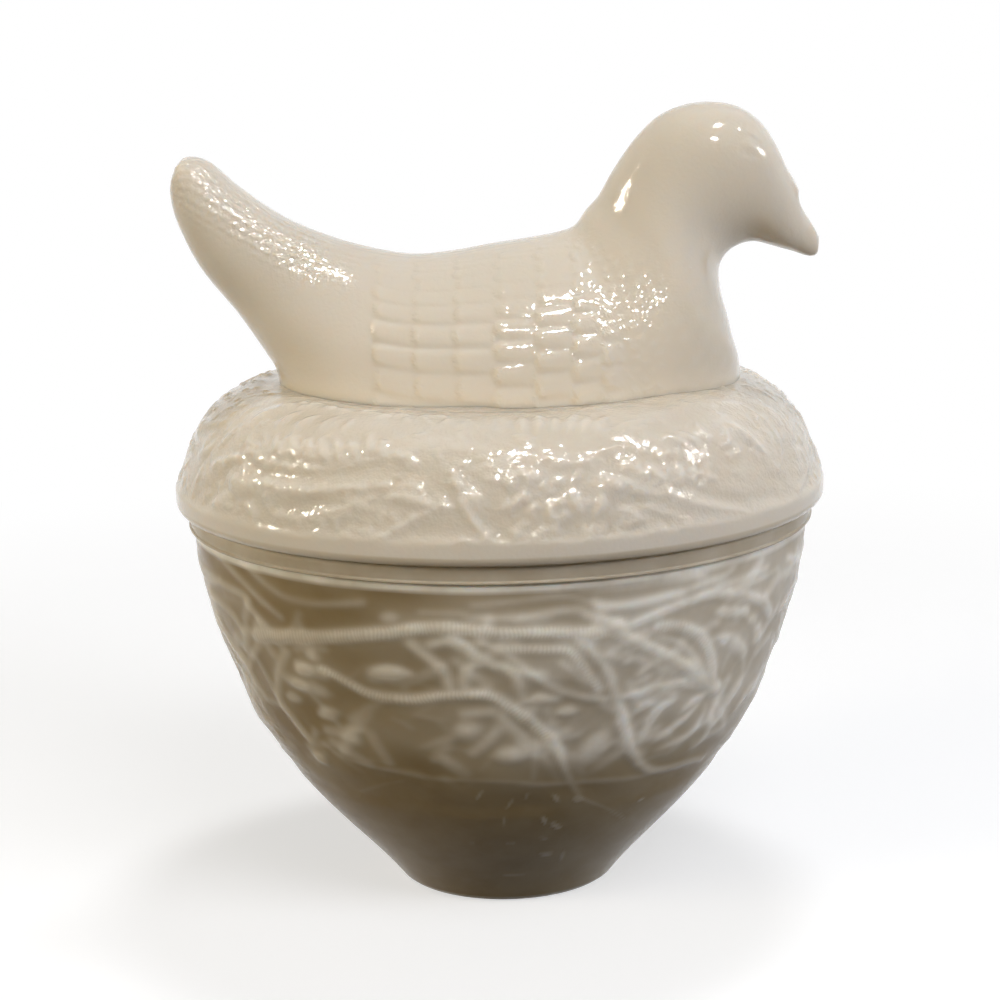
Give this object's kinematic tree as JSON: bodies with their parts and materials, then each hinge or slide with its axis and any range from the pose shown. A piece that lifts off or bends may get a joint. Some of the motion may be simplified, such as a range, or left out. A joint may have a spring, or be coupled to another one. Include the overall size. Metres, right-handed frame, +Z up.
{
  "type": "bird on nest covered dish",
  "caption": "Pressed milk-glass covered dish: a deep round nest-shaped bowl on a narrow foot, and a lift-off cover moulded as a nest with a sitting dove-like bird.",
  "frame": {"origin": "centre of the foot, on the surface that the dish stands on", "axes": "+Z up, +X towards the bird's beak, +Y towards the bird's left side"},
  "size_m": [0.132, 0.132, 0.159],
  "materials": {
    "bowl_milk_glass": "opaque white pressed glass, fire-polished gloss, faint mould texture",
    "cover_milk_glass": "opaque white pressed glass, fire-polished gloss, faint mould texture"
  },
  "bodies": {
    "bowl": {"nest_bowl": "bowl_milk_glass"},
    "cover": {"bird_lid": "cover_milk_glass"}
  },
  "joints": [
    {"name": "lid_lift", "type": "slide", "parent": "bowl", "child": "cover", "axis": [0, 0, 1], "range_m": [0, 0.09]}
  ]
}
